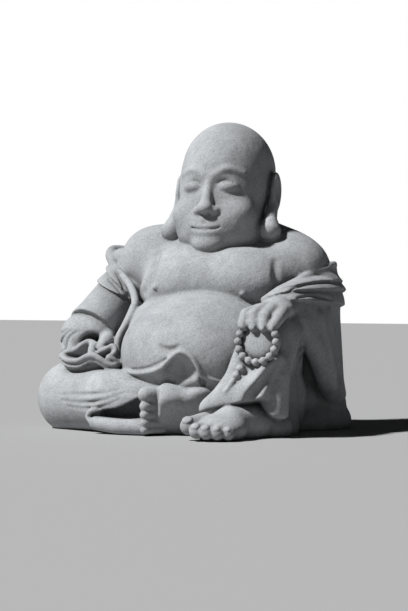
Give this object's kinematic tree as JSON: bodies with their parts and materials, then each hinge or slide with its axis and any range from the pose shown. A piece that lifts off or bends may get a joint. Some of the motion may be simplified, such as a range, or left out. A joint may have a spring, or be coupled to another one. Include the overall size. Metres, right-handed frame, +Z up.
{
  "type": "laughing buddha statue",
  "caption": "Cast-stone garden figure of a seated bald monk with bare belly, open robe, one raised knee, sack and prayer beads.",
  "frame": {"origin": "centre of the bounding box's footprint, on the ground plane under the base", "axes": "+Z up, -Y the way the figure faces, +X towards the figure's left"},
  "size_m": [0.4398, 0.4102, 0.4493],
  "materials": {
    "cast_stone": "matt, fine-grained cast stone"
  },
  "bodies": {
    "root": {"statue": "cast_stone"}
  },
  "joints": []
}
